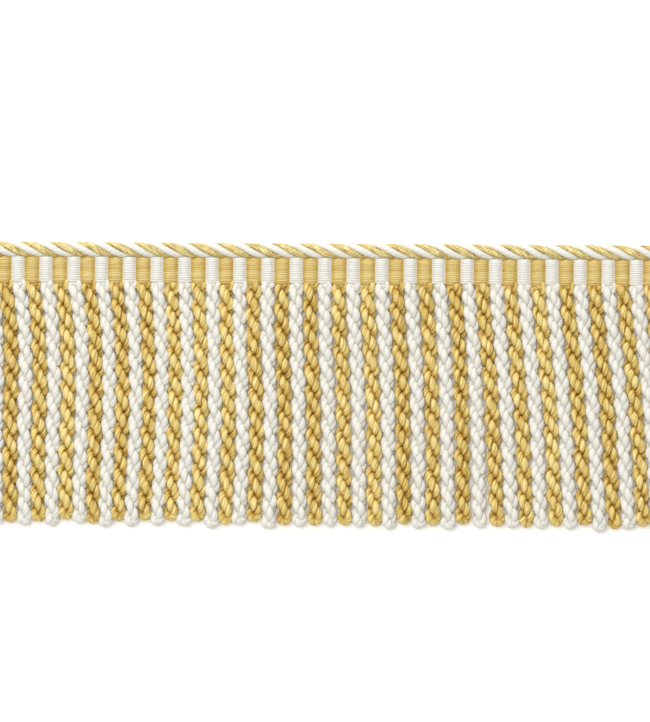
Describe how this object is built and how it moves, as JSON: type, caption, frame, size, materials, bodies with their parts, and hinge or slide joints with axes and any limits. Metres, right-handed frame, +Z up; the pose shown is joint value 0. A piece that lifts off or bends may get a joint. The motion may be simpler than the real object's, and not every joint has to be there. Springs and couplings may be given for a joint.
{
  "type": "bullion fringe trim",
  "caption": "Cut length of bullion fringe lying flat: a striped woven heading with a corded lip along its top and a row of twisted gold and ivory strands below.",
  "frame": {"origin": "middle of the underside of the whole trim, on the surface that it lies on", "axes": "+X along the trim, to the right with the strands towards the viewer; +Y from the strands' tips to the lip; +Z up from the surface, out of the trim's face"},
  "size_m": [0.1856, 0.0772, 0.0034],
  "materials": {
    "striped_heading": "warp-faced rib weave in gold and ivory rayon, soft sheen",
    "gold_rayon": "plied gold rayon yarn, satin sheen",
    "ivory_rayon": "plied ivory rayon yarn, satin sheen"
  },
  "bodies": {
    "root": {"heading": "striped_heading", "gold_bullion": "gold_rayon", "ivory_bullion": "ivory_rayon", "lip_gold_first": "gold_rayon", "lip_ivory_first": "ivory_rayon", "lip_gold_second": "gold_rayon", "lip_ivory_second": "ivory_rayon"}
  },
  "joints": []
}
